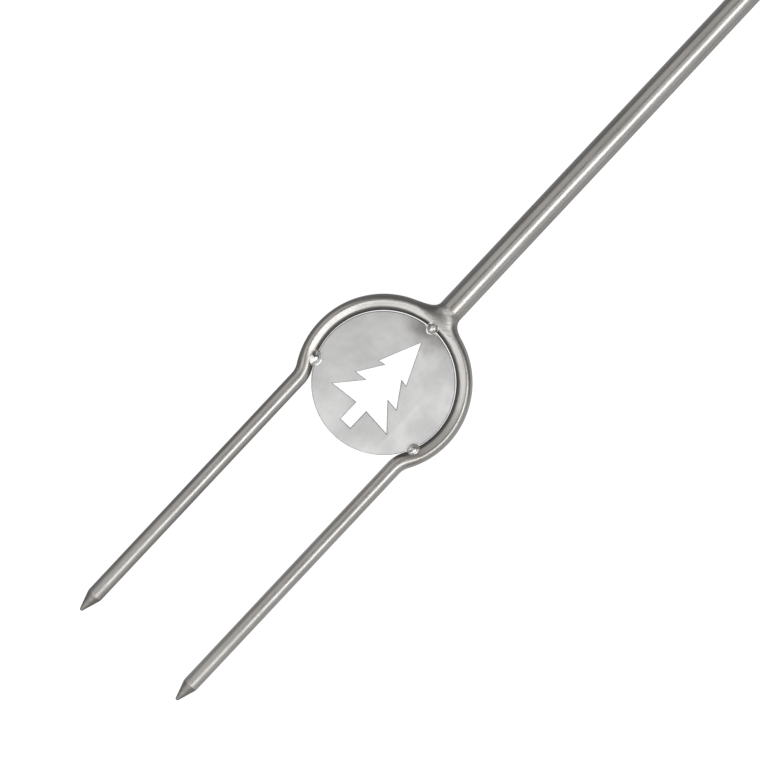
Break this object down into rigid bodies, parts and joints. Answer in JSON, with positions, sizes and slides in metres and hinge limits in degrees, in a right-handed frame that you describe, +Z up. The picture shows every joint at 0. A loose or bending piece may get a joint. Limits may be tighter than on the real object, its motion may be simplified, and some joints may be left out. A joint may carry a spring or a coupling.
{
  "type": "roasting fork",
  "caption": "Two-prong campfire roasting fork: long round steel bar, bent-wire ring head with a pierced disc, turned wooden grip and swinging hanging loop.",
  "frame": {"origin": "on the bar's axis, level with the roots of the two straight prongs", "axes": "+X along the prongs towards their tips, +Z up as the fork lies level, square to the disc, +Y towards the left prong"},
  "size_m": [0.8261, 0.0434, 0.024],
  "materials": {
    "wire_steel": "drawn, satin",
    "bar_steel": "drawn, satin",
    "sheet_steel": "fine satin",
    "weld_steel": "bright as-welded bead",
    "ground_steel": "ground and brushed",
    "turned_steel": "fine turned",
    "loop_steel": "drawn, bright",
    "oiled_wood": "oiled"
  },
  "bodies": {
    "fork": {"fork_wire": "wire_steel", "emblem_disc": "sheet_steel", "tack_weld_rear": "weld_steel", "tack_weld_left": "weld_steel", "tack_weld_right": "weld_steel", "shaft_weld": "ground_steel", "shaft": "bar_steel", "ferrule": "turned_steel", "ferrule_pin": "turned_steel", "grip": "oiled_wood", "end_cap": "turned_steel"},
    "hanging_loop": {"hanging_loop": "loop_steel"}
  },
  "joints": [
    {"name": "loop_pivot", "type": "hinge", "parent": "fork", "child": "hanging_loop", "pos_m": [-0.7315, 0, 0], "axis": [0, 1, 0], "range_deg": [-105, 174]}
  ]
}
